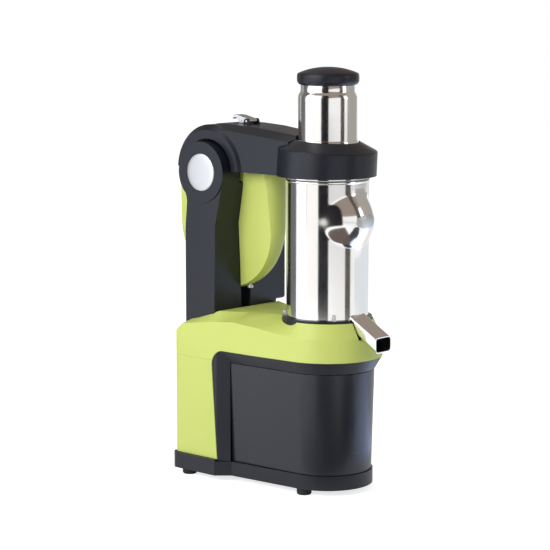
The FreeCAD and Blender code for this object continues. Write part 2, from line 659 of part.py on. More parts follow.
def make_bowl(parts):
    outer = bowl_solid(0.0)
    rim = turned([(BOWL_R - 1.0, BOWL_TOP_Z - 4.0), (BOWL_RIM_R, BOWL_TOP_Z - 3.0, 1.0),
                  (BOWL_RIM_R, BOWL_TOP_Z, 1.0), (BOWL_R - 1.0, BOWL_TOP_Z)])
    bowl = outer.fuse(rim).cut(bowl_solid(BOWL_WALL))
    chimney = rod_z(SHAFT_R + 4.0, BOWL_FOOT_Z, BOWL_FOOT_Z + 9.0)
    bowl = bowl.fuse(chimney).cut(rod_z(SHAFT_R + 2.0, 0.0, FAR))
    bowl = bowl.cut(rod_z(DUCT_R, 0.0, BOWL_FOOT_Z + 5.0, DUCT_OFFSET, -DUCT_OFFSET))
    length = (SPOUT_REACH + SPOUT_H) / math.cos(math.radians(SPOUT_FALL))
    parts["bowl"] = bowl.cut(spout_solid(SPOUT_WALL, -12.0, length)).removeSplitter()
    spout = spout_solid(0.0, -12.0, length).cut(outer)
    parts["spout"] = spout.cut(spout_solid(SPOUT_WALL, -20.0, length))
    # Bare oval badge on the front of the bump.
    face_y = BUMP_Y - BUMP_R
    badge = Part.makeSphere(BUMP_R + BADGE_THICK, Vec(0, BUMP_Y, BUMP_Z))
    badge = badge.cut(Part.makeSphere(BUMP_R, Vec(0, BUMP_Y, BUMP_Z)))
    oval = Part.Ellipse(Vec(0, 0, 0), BADGE_HALF[0], BADGE_HALF[1]).toShape()
    stamp = Part.Face(Part.Wire([oval])).extrude(Vec(0, 0, 40.0))
    stamp.rotate(Vec(0, 0, 0), Vec(1, 0, 0), 90)
    stamp.translate(Vec(0, face_y + 20.0, BUMP_Z))
    parts["badge_plate"] = badge.common(stamp)
    lugs = []
    lug_z = COLLAR_TOP + SEAT_GAP
    for angle in LUG_ANGLES:
        lug = block((BOWL_R - 1.0, DECK_HOLE_R - 2.0), (-3.0, 3.0), (lug_z, lug_z + LUG_H))
        lug = lug.fuse(rod_z(2.5, lug_z, lug_z + LUG_PIN_H, BOWL_R + 3.0, 0.0))
        lug.rotate(Vec(0, 0, 0), Vec(0, 0, 1), angle)
        lugs.append(lug.cut(rod_z(BOWL_R, 0.0, FAR + 200.0)))
    parts["bowl_lugs"] = Part.makeCompound(lugs)
    # Filter basket, with two rows of slots, and the screw inside it.
    low = BOWL_FOOT_Z + BOWL_WALL
    basket = ring_z(FILTER_R, FILTER_R - FILTER_WALL, low, FILTER_TOP)
    slots = []
    for i in range(18):
        for z in (low + 20.0, low + 115.0):
            slot = block((FILTER_R - 5.0, FILTER_R + 5.0), (-1.0, 1.0), (z, z + 80.0))
            slot.rotate(Vec(0, 0, 0), Vec(0, 0, 1), i * 20.0)
            slots.append(slot)
    parts["filter_basket"] = basket.cut(Part.makeCompound(slots))
    foot = BOWL_FOOT_Z + 13.0
    core = turned([(0.0, foot), (SCREW_R - 12.0, foot), (SCREW_R - 16.0, foot + 40.0),
                   (14.0, SCREW_TOP - 8.0), (8.0, SCREW_TOP), (0.0, SCREW_TOP)])
    flight = screw_flight(foot)
    head = SHAFT_R * 0.7
    socket = block((-head, head), (-head, head), (0.0, BOWL_FOOT_Z + 45.0))
    recess = rod_z(SHAFT_R + 4.2, 0.0, foot + 2.0)
    parts["screw"] = core.fuse(flight).cut(socket).cut(recess).removeSplitter()


def screw_flight(foot):
    # One helical blade around the core.
    height = SCREW_PITCH * SCREW_TURNS
    low = foot + 1.0
    helix = Part.makeHelix(SCREW_PITCH, height, SCREW_R - 6.0)
    inner = 10.0
    edges = []
    corners = [(inner, -3.0), (SCREW_R, -1.5), (SCREW_R, 1.5), (inner, 3.0)]
    for i in range(len(corners)):
        a = corners[i]
        b = corners[(i + 1) % len(corners)]
        edges.append(Part.LineSegment(Vec(a[0], 0, a[1]), Vec(b[0], 0, b[1])).toShape())
    blade = Part.Wire(helix.Edges).makePipeShell([Part.Wire(edges)], True, True)
    blade.translate(Vec(0, 0, low + 3.0))
    return blade


def gap_form(grow=0.0):
    right = [(x + grow, z) for x, z in GAP_LINE]
    left = [(-x, z) for x, z in reversed(right)]
    return prism_y(right + left, -FAR, FAR)


def make_uprights(parts):
    profile = [(UPRIGHT_FRONT, 240.0), (UPRIGHT_FRONT - 3.0, 420.0, 40.0),
               (PIVOT_Y - HEAD_R + 3.0, PIVOT_Z - 18.0), (PIVOT_Y, PIVOT_Z),
               (PIVOT_Y + HEAD_R - 8.0, PIVOT_Z - 25.0), (UPRIGHT_REAR - 4.5, PIVOT_Z - 45.0, 30.0),
               (UPRIGHT_REAR, 412.0, 60.0), (UPRIGHT_REAR, 240.0)]
    leg = prism_x(profile, 5.0, UPRIGHT_OUT)
    head = rod_x(HEAD_R, HEAD_IN, HEAD_OUT)
    disc_seat = rod_x(DISC_R + SLIP, HEAD_OUT - 1.5, HEAD_OUT + 5.0)
    upright = leg.fuse(head).cut(disc_seat).cut(gap_form())
    # Room for the arm's webs as they swing.
    web_out = HEAD_IN
    swing = rod_x(HOOD_R - 20.0, 0.0, web_out)
    swing = swing.cut(prism_x([(0.0, 0.0), (0.0, PIVOT_Z), (PIVOT_Y, PIVOT_Z), (FAR, PIVOT_Z - 150.0),
                               (FAR, 0.0)], -1.0, FAR))
    hub_room = rod_x(PIVOT_R + BUSH_WALL + 9.0, 0.0, web_out)
    upright = upright.cut(swing).cut(hub_room).cut(rod_x(PIVOT_R, 0.0, HEAD_OUT - 6.0))
    deck = deck_outer()
    upright = upright.cut(deck).cut(block((-FAR, FAR), (-FAR, FAR), (0.0, 248.0)))
    parts["right_upright"] = keep_biggest(upright)
    parts["left_upright"] = mirrored(parts["right_upright"])
    disc = rod_x(DISC_R, HEAD_OUT - 1.5, HEAD_OUT - 1.5 + DISC_THICK)
    parts["right_disc"] = disc.makeFillet(1.0, [e for e in disc.Edges if e.BoundBox.XMin > HEAD_OUT + 1.0])
    parts["left_disc"] = mirrored(parts["right_disc"])
    parts["pivot_shaft"] = rod_x(PIVOT_R, -HEAD_OUT + 6.0, HEAD_OUT - 6.0)


def keep_biggest(shape):
    return sorted(shape.Solids, key=lambda solid: solid.Volume)[-1]


def housing_form(inset):
    # The rear housing as a solid, its walls moved in by inset: crowned ends
    # that stand upright down to HOUSING_Z and turn about it below.
    radius = HOUSING_R - inset
    shoulder = radius - HOUSING_CROWN
    half = HOUSING_HALF - inset
    z = HOUSING_Z

    def end_face(sign):
        return Part.Face(Part.Wire([
            Part.LineSegment(Vec(-half, PIVOT_Y, z), Vec(-half, PIVOT_Y + sign * shoulder, z)).toShape(),
            Part.Arc(Vec(-half, PIVOT_Y + sign * shoulder, z), Vec(0, PIVOT_Y + sign * radius, z),
                     Vec(half, PIVOT_Y + sign * shoulder, z)).toShape(),
            Part.LineSegment(Vec(half, PIVOT_Y + sign * shoulder, z), Vec(half, PIVOT_Y, z)).toShape(),
            Part.LineSegment(Vec(half, PIVOT_Y, z), Vec(-half, PIVOT_Y, z)).toShape(),
        ]))

    up = Vec(0, 0, HOUSING_TOP - inset - z)
    pieces = [end_face(-1.0).extrude(up), end_face(1.0).extrude(up),
              end_face(-1.0).revolve(Vec(0, PIVOT_Y, z), Vec(1, 0, 0), 180),
              rod_x(HOUSING_CAP_R - inset, -half, half)]
    return joined(pieces).common(gap_form(-inset))


def make_rear_housing(parts):
    shell = housing_form(0.0).cut(housing_form(HOUSING_WALL)).cut(rod_x(PIVOT_R, -FAR, FAR))
    boss = HOUSING_HALF - HOUSING_WALL - 1.0
    shell = shell.fuse(rod_x(PIVOT_R + 4.0, -boss, boss).cut(rod_x(PIVOT_R, -boss, boss)))
    screw_y = PIVOT_Y - HOUSING_SCREW_IN
    low = HOUSING_Z - math.sqrt(HOUSING_R ** 2 - HOUSING_SCREW_IN ** 2)
    shell = shell.cut(rod_z(2.5, 0.0, low + 10.0, 0.0, screw_y))
    half = block((0.0, FAR), (-FAR, FAR), (0.0, 3 * FAR))
    parts["rear_housing_right"] = keep_biggest(shell.common(half))
    parts["rear_housing_left"] = keep_biggest(shell.cut(half))
    parts["housing_screw"] = joined([rod_z(2.5, low - 1.0, low + 10.0, 0.0, screw_y),
                                     rod_z(5.0, low - 5.0, low - 1.0, 0.0, screw_y)])


def arm_beam():
    # Roof and sides of the beam, from the ring back to the hinge.
    wires = []
    for y, edge_z, roof, roof_z in BEAM_STATIONS:
        section = [(-BEAM_HALF, ARM_BOTTOM), (-BEAM_HALF, edge_z), (-roof, roof_z)]
        section = section + [(-x, z) for x, z in reversed(section)]
        wires.append(face_of(section, lambda p, y=y: Vec(p.x, y, p.y)).OuterWire)
    return Part.makeLoft(wires, True, True)


def make_arm(parts):
    ring = turned([(0.0, ARM_BOTTOM - 20.0), (RING_R + 0.5, ARM_BOTTOM - 20.0),
                   (RING_R, RING_EDGE_Z - 2.0), (RING_R - 2.0, RING_EDGE_Z),
                   (RING_HOLE_R - 4.0, RING_RIM_Z + 2.0), (0.0, RING_RIM_Z + 2.0)])
    ring.rotate(Vec(0, 0, RING_EDGE_Z), Vec(1, 0, 0), RING_TILT)
    hood = rod_x(HOOD_R, -HOOD_HALF, HOOD_HALF)
    hood = hood.makeChamfer(9.0, [e for e in hood.Edges if abs(e.BoundBox.XLength) < 0.1])
    body = joined([ring, arm_beam(), hood])
    under = block((-FAR, FAR), (-FAR, FAR), (0.0, ARM_BOTTOM))
    behind = block((-FAR, FAR), (PIVOT_Y, FAR), (0.0, PIVOT_Z + 6.0))
    body = body.cut(under).cut(behind)
    # Ring hole, and a pocket in the beam closed by a cover below.
    body = body.cut(rod_z(RING_HOLE_R, 0.0, 3 * FAR))
    pocket_y = (RING_HOLE_R + 14.0, PIVOT_Y - HOOD_R + 1.0)
    pocket = block((-BEAM_HALF + 5.0, BEAM_HALF - 5.0), pocket_y, (ARM_BOTTOM, POCKET_Z))
    body = body.cut(pocket)
    # Rooms for the uprights' heads, for the rear housing and for the slot behind it.
    web_in = HOUSING_HALF + 2 * SLIP
    web_out = HEAD_IN - SLIP
    head_room = rod_x(HEAD_R + 4.0, web_out, FAR / 2.0)
    body = body.cut(head_room).cut(mirrored(head_room))
    housing_room = rod_x(HOOD_R - HOOD_ROOF, -web_in, web_in)
    slot_edge = math.radians(ARM_OPEN + 8.0)
    far_edge = (PIVOT_Y + FAR * math.cos(slot_edge), PIVOT_Z + FAR * math.sin(slot_edge))
    slot = prism_x([(PIVOT_Y, PIVOT_Z), far_edge, (PIVOT_Y + FAR, PIVOT_Z + FAR),
                    (PIVOT_Y + FAR, 0.0), (PIVOT_Y, 0.0)], -web_in, web_in)
    body = body.cut(housing_room).cut(slot)
    # Webs between head and housing that carry the arm on its bushes.
    bush_r = PIVOT_R + BUSH_WALL
    hub_r = bush_r + 6.0
    room_r = HEAD_R + 4.0
    web_r = room_r + 0.5
    web = prism_x([(PIVOT_Y - 14.0, PIVOT_Z), (PIVOT_Y + 14.0, PIVOT_Z), (PIVOT_Y + 26.0, PIVOT_Z + web_r),
                   (PIVOT_Y - 40.0, PIVOT_Z + web_r)], web_in, web_out)
    web_room = rod_x(room_r, web_in, web_out)
    web = web.common(rod_x(web_r, web_in, web_out)).fuse(rod_x(hub_r, web_in, web_out))
    body = body.cut(web_room).cut(mirrored(web_room))
    body = joined([body, web, mirrored(web)])
    bush_hole = rod_x(bush_r, -FAR, FAR)
    body = body.cut(bush_hole)
    # Ears for the latch pin.
    for sign in (-1.0, 1.0):
        middle = sign * (LATCH_HALF + SLIP + LATCH_EAR / 2.0)
        ear = prism_x([(LATCH_Y - 8.0, LATCH_ROOF - 4.0), (LATCH_Y - 4.0, LATCH_PIN_Z + 4.0, 3.0),
                       (LATCH_Y + 4.0, LATCH_PIN_Z + 4.0, 3.0), (LATCH_Y + 8.0, LATCH_ROOF - 4.0)],
                      middle - LATCH_EAR / 2.0, middle + LATCH_EAR / 2.0)
        body = body.fuse(ear)
    body = body.cut(rod_x(LATCH_PIN_R, -FAR / 2.0, FAR / 2.0, LATCH_Y, LATCH_PIN_Z))
    parts["arm"] = keep_biggest(body.removeSplitter())
    cover = block((-BEAM_HALF + 5.0, BEAM_HALF - 5.0), pocket_y, (ARM_BOTTOM, ARM_BOTTOM + 2.5))
    screws = []
    for x in (-BEAM_HALF + 12.0, BEAM_HALF - 12.0):
        for y in (pocket_y[0] + 8.0, pocket_y[1] - 8.0):
            cover = cover.cut(rod_z(1.6, 0.0, 2 * FAR, x, y))
            screws.append(rod_z(1.6, ARM_BOTTOM, ARM_BOTTOM + 8.0, x, y).fuse(
                rod_z(3.0, ARM_BOTTOM + 2.5, ARM_BOTTOM + 3.5, x, y)))
    parts["arm_cover"] = cover
    parts["cover_screws"] = Part.makeCompound(screws)
    bush = rod_x(bush_r, web_in, web_out).cut(rod_x(PIVOT_R + BEARING_PLAY, web_in, web_out))
    parts["hinge_bushes"] = Part.makeCompound([bush, mirrored(bush)])


def make_latch(parts):
    low = LATCH_ROOF + 3 * SLIP
    knuckle = LATCH_PIN_Z - low
    lever = prism_x([(LATCH_Y, low), (LATCH_Y + 18.0, low), (LATCH_Y + 24.0, low + 8.0),
                     (LATCH_Y + 30.0, low + 9.0), (LATCH_Y + 33.0, low + 6.0), (LATCH_Y + 36.0, low + 7.5),
                     (LATCH_Y + 32.0, low + 13.0, 2.0), (LATCH_Y + 22.0, low + 12.5, 3.0),
                     (LATCH_Y, LATCH_PIN_Z + knuckle)], -LATCH_HALF, LATCH_HALF)
    lever = lever.fuse(rod_x(knuckle, -LATCH_HALF, LATCH_HALF, LATCH_Y, LATCH_PIN_Z)).removeSplitter()
    bore = rod_x(LATCH_PIN_R + BEARING_PLAY, -FAR / 2.0, FAR / 2.0, LATCH_Y, LATCH_PIN_Z)
    parts["latch_lever"] = lever.cut(bore)
    reach = LATCH_HALF + SLIP + LATCH_EAR
    parts["latch_pin"] = rod_x(LATCH_PIN_R, -reach, reach, LATCH_Y, LATCH_PIN_Z)


def make_chute(parts):
    lid_low = BOWL_TOP_Z + 1.5
    parts["lid"] = ring_z(RING_R - 12.5, CHUTE_R, lid_low, ARM_BOTTOM)
    parts["lid_seal"] = ring_z(BOWL_R, BOWL_R - 3.0, BOWL_TOP_Z + SLIP, lid_low)
    inner = CHUTE_R - CHUTE_WALL
    neck_in = CHUTE_NECK_R - CHUTE_WALL
    tube = turned([(inner, lid_low), (CHUTE_R, lid_low), (CHUTE_R, CHUTE_SHOULDER_Z - 5.0, 5.0),
                   (CHUTE_NECK_R + 0.5, CHUTE_SHOULDER_Z + 1.0, 1.5), (CHUTE_NECK_R, CHUTE_TOP_Z),
                   (neck_in, CHUTE_TOP_Z), (neck_in, CHUTE_SHOULDER_Z - 1.0),
                   (inner, CHUTE_SHOULDER_Z - 7.0)])
    parts["feed_chute"] = tube
    parts["chute_collar"] = turned([(CHUTE_R, RING_RIM_Z - 22.0), (RING_HOLE_R, RING_RIM_Z - 22.0),
                                    (RING_HOLE_R, RING_RIM_Z - 8.0), (CHUTE_R + 2.0, RING_RIM_Z + 1.0),
                                    (CHUTE_R, RING_RIM_Z + 1.0)])
    pusher_in = PUSHER_R - PUSHER_WALL
    floor = PUSHER_FOOT_Z + PUSHER_WALL
    parts["pusher"] = turned([(0.0, PUSHER_FOOT_Z), (PUSHER_R, PUSHER_FOOT_Z, 2.0), (PUSHER_R, CAP_Z),
                              (pusher_in, CAP_Z), (pusher_in, floor), (0.0, floor)])
    crown = (CAP_R ** 2 + CAP_RISE ** 2) / (2.0 * CAP_RISE)
    dome = Part.makeSphere(crown, Vec(0, 0, CAP_TOP - crown)).common(rod_z(CAP_R, CAP_Z, CAP_TOP))
    side = rod_z(CAP_R, CAP_Z, CAP_TOP - CAP_RISE)
    cap = dome.fuse(side).removeSplitter()
    parts["pusher_cap"] = cap.makeFillet(2.0, [e for e in cap.Edges if abs(e.BoundBox.ZMax - CAP_Z) < 0.1])


def make_controls(parts):
    inner = UPRIGHT_OUT
    box = block((inner, BOX_OUT), BOX_Y, BOX_Z)
    round_edges = [e for e in box.Edges if e.BoundBox.XMin > BOX_OUT - 1.0 or
                   (e.BoundBox.XLength > 5.0 and e.BoundBox.YLength < 0.1 and e.BoundBox.ZLength < 0.1)]
    box = box.makeFillet(5.0, round_edges)
    w = BOX_WALL
    hollow = block((inner, BOX_OUT - w), (BOX_Y[0] + w, BOX_Y[1] - w), (BOX_Z[0] + w, BOX_Z[1] - w))
    box = box.cut(hollow)
    mid = sum(BOX_Y) / 2.0
    stem_r = 3.0
    box = box.cut(rod_x(stem_r + BEARING_PLAY, inner, FAR, mid, KNOB_Z))
    for z in BUTTON_Z:
        box = box.cut(rod_x(BUTTON_R + SLIP, inner, FAR, mid, z))
    parts["control_box"] = box
    knob = rod_x(KNOB_R, BOX_OUT + SLIP, BOX_OUT + KNOB_H, mid, KNOB_Z)
    knob = knob.makeFillet(1.5, [e for e in knob.Edges if e.BoundBox.XMin > BOX_OUT + KNOB_H - 1.0])
    grooves = []
    for i in range(16):
        groove = rod_x(1.2, BOX_OUT, BOX_OUT + KNOB_H - 2.0, mid + KNOB_R + 0.5, KNOB_Z)
        groove.rotate(Vec(0, mid, KNOB_Z), Vec(1, 0, 0), i * 22.5)
        grooves.append(groove)
    knob = knob.cut(Part.makeCompound(grooves))
    stem = rod_x(stem_r, BOX_OUT - 12.0, BOX_OUT + 2.0, mid, KNOB_Z)
    parts["speed_knob"] = knob.fuse(stem).removeSplitter()
    sensor_in = BOX_OUT - w - 17.0
    pot = rod_x(9.0, sensor_in, BOX_OUT - w, mid, KNOB_Z)
    parts["speed_dial_unit"] = pot.cut(rod_x(stem_r + BEARING_PLAY, BOX_OUT - 14.0, FAR, mid, KNOB_Z))
    proud = 3.5
    foot = BOX_OUT - w - SLIP - 1.5
    for name, z in (("start_button", BUTTON_Z[1]), ("stop_button", BUTTON_Z[0])):
        parts[name] = rod_x(BUTTON_R, foot, BOX_OUT + proud, mid, z).fuse(
            rod_x(BUTTON_R + 1.5, foot, foot + 1.5, mid, z)).removeSplitter()
    back = foot - BUTTON_TRAVEL - 2 * SLIP
    switch = block((inner, back), (mid - 10.0, mid + 10.0), (BUTTON_Z[0] - 10.0, BUTTON_Z[1] + 10.0))
    parts["switch_block"] = switch


def build():
    parts = {}
    for make in (make_base, make_column, make_deck, make_surround, make_drive, make_bowl,
                 make_uprights, make_rear_housing, make_arm, make_latch, make_chute, make_controls):
        make(parts)
    return parts


parts = build()
boxes = [shape.optimalBoundingBox(False, False) for shape in parts.values()]
middle_x = (min(b.XMin for b in boxes) + max(b.XMax for b in boxes)) / 2.0
middle_y = (min(b.YMin for b in boxes) + max(b.YMax for b in boxes)) / 2.0
for name, shape in parts.items():
    placed = shape.copy()
    placed.translate(Vec(-middle_x, -middle_y, 0))
    placed.exportStep("parts/" + name + ".step")
    print(name, len(placed.Solids), round(placed.Volume), placed.isValid())
print("origin is moved by", round(middle_x, 4), round(middle_y, 4))
print("height", round(max(b.ZMax for b in boxes), 3))
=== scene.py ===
# %% [markdown]
# A cold press juicer, dressed over its CAD frame. The frame holds every solid
# piece in its place and on its moving body. This script gives each piece its
# finish, and models the pieces that light shows best again with softer edges.

# %% Load the frame
import bpy
import json
import math
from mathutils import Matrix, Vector


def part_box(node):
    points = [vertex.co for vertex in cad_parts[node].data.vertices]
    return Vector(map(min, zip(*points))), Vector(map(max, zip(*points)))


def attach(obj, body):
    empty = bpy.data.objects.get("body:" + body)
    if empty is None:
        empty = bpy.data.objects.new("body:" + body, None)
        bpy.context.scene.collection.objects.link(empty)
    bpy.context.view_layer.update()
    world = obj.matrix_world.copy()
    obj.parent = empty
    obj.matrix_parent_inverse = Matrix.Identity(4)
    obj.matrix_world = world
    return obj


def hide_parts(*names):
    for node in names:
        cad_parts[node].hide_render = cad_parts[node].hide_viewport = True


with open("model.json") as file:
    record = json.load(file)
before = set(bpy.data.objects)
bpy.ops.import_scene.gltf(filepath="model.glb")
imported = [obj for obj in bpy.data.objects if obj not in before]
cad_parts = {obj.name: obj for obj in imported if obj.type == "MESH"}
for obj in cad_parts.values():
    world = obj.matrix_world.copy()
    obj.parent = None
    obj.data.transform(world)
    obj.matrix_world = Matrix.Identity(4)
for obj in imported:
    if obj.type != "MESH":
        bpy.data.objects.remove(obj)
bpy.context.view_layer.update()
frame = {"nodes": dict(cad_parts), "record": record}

nodes = frame["nodes"]
print("loaded", len(nodes), "nodes")

# %% [markdown]
# Most sizes are easier to think of in millimetres from the bowl's upright axis.
# The filter basket is a plain ring about that axis, so its box gives the axis.

# %% Find the bowl's axis
low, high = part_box("filter_basket")
AXIS = Vector(((low.x + high.x) / 2, (low.y + high.y) / 2, 0))


def at(x, y, z):
    return AXIS + Vector((x, y, z)) / 1000


print("bowl axis", tuple(round(v, 4) for v in AXIS))

# %% [markdown]
# The camera stands where the photographer stood: to the front left, somewhat
# higher than the juicer's top and looking slightly down, through a long lens. A
# long lens from far away keeps upright edges nearly parallel.

# %% Place the camera
PICTURE_PIXELS = 550
LENS_PIXELS = 2059.7                    # focal length in the photo's pixels
SENSOR = 36
CAMERA_PLACE = (-2467.8, -2147.2, 814)
CAMERA_FALL = 8.12                      # degrees below level
CAMERA_TURN = 47.5                      # degrees from looking straight back
camera_data = bpy.data.cameras.new("camera")
camera_data.sensor_width = SENSOR
camera_data.lens = SENSOR * LENS_PIXELS / PICTURE_PIXELS
camera = bpy.data.objects.new("camera", camera_data)
bpy.context.scene.collection.objects.link(camera)
camera.location = at(*CAMERA_PLACE)
camera.rotation_euler = (math.radians(90 - CAMERA_FALL), 0, math.radians(-CAMERA_TURN))
bpy.context.scene.camera = camera
bpy.context.scene.view_settings.view_transform = "Standard"
print("camera lens", round(camera_data.lens, 1), "mm")

# %% [markdown]
# Materials are node trees. Two small helpers add a node with its settings and
# join two sockets, so that each recipe below reads as a list of steps.


# %% Node helpers
def add_node(tree, kind, **settings):
    made = tree.nodes.new(kind)
    for name, value in settings.items():
        if name in made.inputs:
            made.inputs[name].default_value = value
        else:
            setattr(made, name, value)
    return made


def join(tree, source, output, target, socket):
    tree.links.new(source.outputs[output], target.inputs[socket])


print("node helpers ready")

# %% [markdown]
# The background is white for the camera and for reflections, while the sky
# lights the object at less than half of that. Light Path tells the world which
# ray is asking.

# %% Light the world
SKY_ON_OBJECT = 0.38
world = bpy.data.worlds.new("studio")
bpy.context.scene.world = world
world.use_nodes = True
tree = world.node_tree
tree.nodes.clear()
rays = add_node(tree, "ShaderNodeLightPath")
seen = add_node(tree, "ShaderNodeMath", operation="MAXIMUM")
join(tree, rays, "Is Camera Ray", seen, 0)
join(tree, rays, "Is Glossy Ray", seen, 1)
level = add_node(tree, "ShaderNodeMapRange")
level.inputs["To Min"].default_value = SKY_ON_OBJECT
level.inputs["To Max"].default_value = 1.0
join(tree, seen, "Value", level, "Value")
sky = add_node(tree, "ShaderNodeBackground", Color=(1, 1, 1, 1))
join(tree, level, "Result", sky, "Strength")
join(tree, sky, "Background", add_node(tree, "ShaderNodeOutputWorld"), "Surface")
print("world lit")

# %% [markdown]
# Polished steel looks like what stands round it. A photographer hangs soft
# boxes and black flags so that a cylinder shows white bands with dark stripes
# between them. The cards below do that. Only reflections see them, so they
# throw no shadow and never stand in front of the camera.


# %% Make a reflection card
CAMERA_SIDE = 221.0     # degrees from +X round the bowl's axis to the camera
CARD_LIFT = 0.002       # metres from the floor to a card that lies on it


def card_colour(name, colour):
    card = bpy.data.materials.new(name)
    card.use_nodes = True
    tree = card.node_tree
    tree.nodes.clear()
    glow = add_node(tree, "ShaderNodeEmission", Color=colour, Strength=1.0)
    join(tree, glow, "Emission", add_node(tree, "ShaderNodeOutputMaterial"), "Surface")
    return card


def only_reflections(card):
    card.visible_camera = False
    card.visible_diffuse = False
    card.visible_shadow = False
    card.visible_transmission = False


def add_card(name, turn, distance, height, size, upright, colour):
    # turn is degrees from the camera, to the right in the picture
    toward = math.radians(CAMERA_SIDE + turn)
    tilt = math.pi / 2 if upright else 0
    bpy.ops.object.select_all(action="DESELECT")
    bpy.ops.mesh.primitive_plane_add(size=1)
    card = bpy.context.object
    card.name = name
    card.scale = (*size, 1)
    card.rotation_euler = (tilt, 0, toward + tilt)
    card.location = AXIS + Vector((math.cos(toward), math.sin(toward), 0)) * distance
    card.location.z = height
    only_reflections(card)
    card.data.materials.append(card_colour(name, (*colour, 1)))


def hang_card(name, turn, width, low_z, high_z, distance, colour):
    size = (width, high_z - low_z)
    add_card(name, turn, distance, (low_z + high_z) / 2, size, True, colour)


def lay_card(name, turn, near, far, width, colour):
    # a card flat on the floor, from near to far metres away
    add_card(name, turn, (near + far) / 2, CARD_LIFT, (far - near, width), False, colour)


print("cards can be made")

# %% [markdown]
# The flags are dark and give dark stripes. The cards are brighter and give the
# bands between. Two bright and two dark cards lie on the floor, where what lies
# low and the lower half of the swelling reflect them. Overhead, a ceiling gives
# upward faces something dim to reflect.

# %% Hang the cards
FOOT, SPLIT, TOP = -0.2, 0.32, 2.2      # metres, heights of the hanging cards' ends
CEILING_Z = 2.6
hang_card("flag_front", -12, 0.80, FOOT, TOP, 1.6, (0.014, 0.013, 0.016))
hang_card("card_left", -78, 0.95, FOOT, TOP, 1.7, (1.7, 1.75, 1.9))
hang_card("flag_right", 57, 0.46, FOOT, TOP, 1.6, (0.10, 0.085, 0.075))
hang_card("card_mid_left", -42, 1.1, FOOT, TOP, 1.8, (1.1, 1.08, 1.06))
hang_card("card_far_right", 112, 2.2, FOOT, SPLIT, 1.7, (0.80, 0.84, 0.88))
hang_card("card_high_right", 112, 2.2, SPLIT, TOP, 1.7, (0.40, 0.38, 0.35))
hang_card("flag_left", -112, 0.9, FOOT, TOP, 1.6, (0.16, 0.16, 0.16))
hang_card("flag_behind", -155, 1.4, FOOT, TOP, 1.6, (0.30, 0.29, 0.28))
lay_card("floor_left", -52, 0.20, 1.25, 0.55, (1.1, 1.1, 1.15))
lay_card("floor_front", -6, 0.16, 1.2, 0.6, (0.145, 0.115, 0.10))
lay_card("floor_right", 50, 0.30, 1.15, 0.36, (0.06, 0.06, 0.07))
lay_card("floor_far_right", 98, 0.25, 1.3, 0.46, (1.5, 1.85, 2.7))
bpy.ops.object.select_all(action="DESELECT")
bpy.ops.mesh.primitive_plane_add(size=16, location=AXIS + Vector((0, 0, CEILING_Z)))
ceiling = bpy.context.object
ceiling.name = "ceiling"
only_reflections(ceiling)
ceiling.data.materials.append(card_colour("ceiling", (0.33, 0.27, 0.225, 1)))
print("cards hung")

# %% [markdown]
# The floor is pale and matt. A glow, seen by the camera and by
# reflections only, lifts it to the white of the background and leaves the soft
# shadow under the feet.

# %% Lay the floor
GLOW_IN_REFLECTIONS = 0.4
GLOW_TO_CAMERA = 0.75
bpy.ops.object.select_all(action="DESELECT")
bpy.ops.mesh.primitive_plane_add(size=14, location=(0, 0, 0))
floor = bpy.context.object
floor.name = "floor"
floor_paint = bpy.data.materials.new("floor_paint")
floor_paint.use_nodes = True
tree = floor_paint.node_tree
tree.nodes.clear()
matt = add_node(tree, "ShaderNodeBsdfDiffuse", Color=(0.86, 0.86, 0.86, 1))
glow = add_node(tree, "ShaderNodeEmission", Color=(1, 1, 1, 1))
rays = add_node(tree, "ShaderNodeLightPath")
reflected = add_node(tree, "ShaderNodeMath", operation="MULTIPLY")
reflected.inputs[1].default_value = GLOW_IN_REFLECTIONS
join(tree, rays, "Is Glossy Ray", reflected, 0)
lift = add_node(tree, "ShaderNodeMath", operation="MULTIPLY_ADD")
lift.inputs[1].default_value = GLOW_TO_CAMERA
join(tree, rays, "Is Camera Ray", lift, 0)
join(tree, reflected, "Value", lift, 2)
join(tree, lift, "Value", glow, "Strength")
both = add_node(tree, "ShaderNodeAddShader")
join(tree, matt, "BSDF", both, 0)
join(tree, glow, "Emission", both, 1)
join(tree, both, "Shader", add_node(tree, "ShaderNodeOutputMaterial"), "Surface")
floor.data.materials.append(floor_paint)
print("floor laid")

# %% [markdown]
# Three large soft lamps: the main one from the left, which makes the green
# sides the lightest faces, a weaker one from the front right, and one overhead.

# %% Set the lamps
LAMP_AIM = AXIS + Vector((0, 0.05, 0.32))


def soft_lamp(name, place, size, power):
    data = bpy.data.lights.new(name, "AREA")
    data.shape = "DISK"
    data.size = size
    data.energy = power
    lamp = bpy.data.objects.new(name, data)
    bpy.context.scene.collection.objects.link(lamp)
    lamp.location = place
    aim = LAMP_AIM - Vector(place)
    lamp.rotation_euler = aim.to_track_quat("-Z", "Y").to_euler()


soft_lamp("main_lamp", (-2.7, 0.1, 1.5), 1.6, 58)
soft_lamp("fill_lamp", (1.2, -2.6, 1.4), 1.4, 9)
soft_lamp("top_lamp", (-0.4, 0.4, 2.6), 1.4, 10)
print("lamps set")

# %% [markdown]
# Real moulded plastic is never one flat colour. Under a glass its skin has a
# fine orange-peel grain, and handling leaves the gloss a little uneven. Both
# effects are groups, built once. Every plastic uses both, the grain at its own
# scale.


# %% Groups for grain and handling
def new_group(name, inputs, outputs):
    group = bpy.data.node_groups.new(name, "ShaderNodeTree")
    for title, value in inputs:
        socket = group.interface.new_socket(title, in_out="INPUT", socket_type="NodeSocketFloat")
        socket.default_value = value
    for title in outputs:
        group.interface.new_socket(title, in_out="OUTPUT", socket_type="NodeSocketFloat")
    return group, group.nodes.new("NodeGroupInput"), group.nodes.new("NodeGroupOutput")


